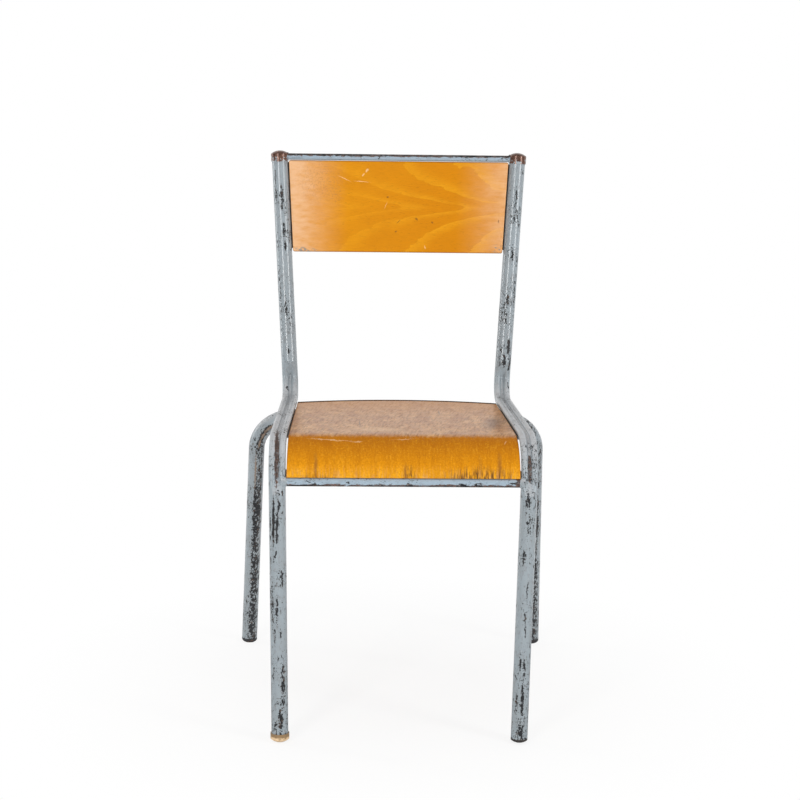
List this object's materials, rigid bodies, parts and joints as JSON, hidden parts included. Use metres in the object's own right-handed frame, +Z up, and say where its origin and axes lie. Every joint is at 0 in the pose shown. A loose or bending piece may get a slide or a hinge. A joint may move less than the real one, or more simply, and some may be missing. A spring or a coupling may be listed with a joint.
{
  "type": "stacking chair",
  "caption": "Armless stacking chair: bent tubular steel frame with a rear leg hoop, moulded plywood seat rolled over the front edge, and a low plywood backrest between the posts.",
  "frame": {"origin": "on the floor, at the middle of the object's box", "axes": "+Z up; -Y is the front, where the sitter's legs go; +X is to the right for someone who looks at the chair's front"},
  "size_m": [0.4952, 0.4795, 0.824],
  "materials": {
    "grey_enamel": "worn blue-grey enamel, semi-gloss, chipped to dark steel",
    "rusted_cap": "sheet steel, brown rust with scraps of grey enamel",
    "varnished_plywood": "amber varnish, semi-gloss, worn at the edges",
    "caramel_plastic": "aged caramel plastic, scuffed",
    "black_rubber": "dark, matt",
    "bright_steel": "dull zinc"
  },
  "bodies": {
    "root": {"side_frame_left": "grey_enamel", "side_frame_right": "grey_enamel", "rear_leg_hoop": "grey_enamel", "front_crossbar": "grey_enamel", "top_rail": "grey_enamel", "crossbar_welds": "grey_enamel", "top_rail_welds": "grey_enamel", "hoop_welds": "grey_enamel", "seat_strip_left": "grey_enamel", "seat_strip_right": "grey_enamel", "front_tab_left": "grey_enamel", "front_tab_right": "grey_enamel", "back_strip_left": "grey_enamel", "back_strip_right": "grey_enamel", "post_cap_left": "rusted_cap", "post_cap_right": "rusted_cap", "seat_panel": "varnished_plywood", "backrest_panel": "varnished_plywood", "front_left_glide": "caramel_plastic", "front_right_glide": "black_rubber", "rear_left_glide": "black_rubber", "rear_right_glide": "black_rubber", "seat_screws": "bright_steel", "tab_screws": "bright_steel", "back_screws": "bright_steel"}
  },
  "joints": []
}
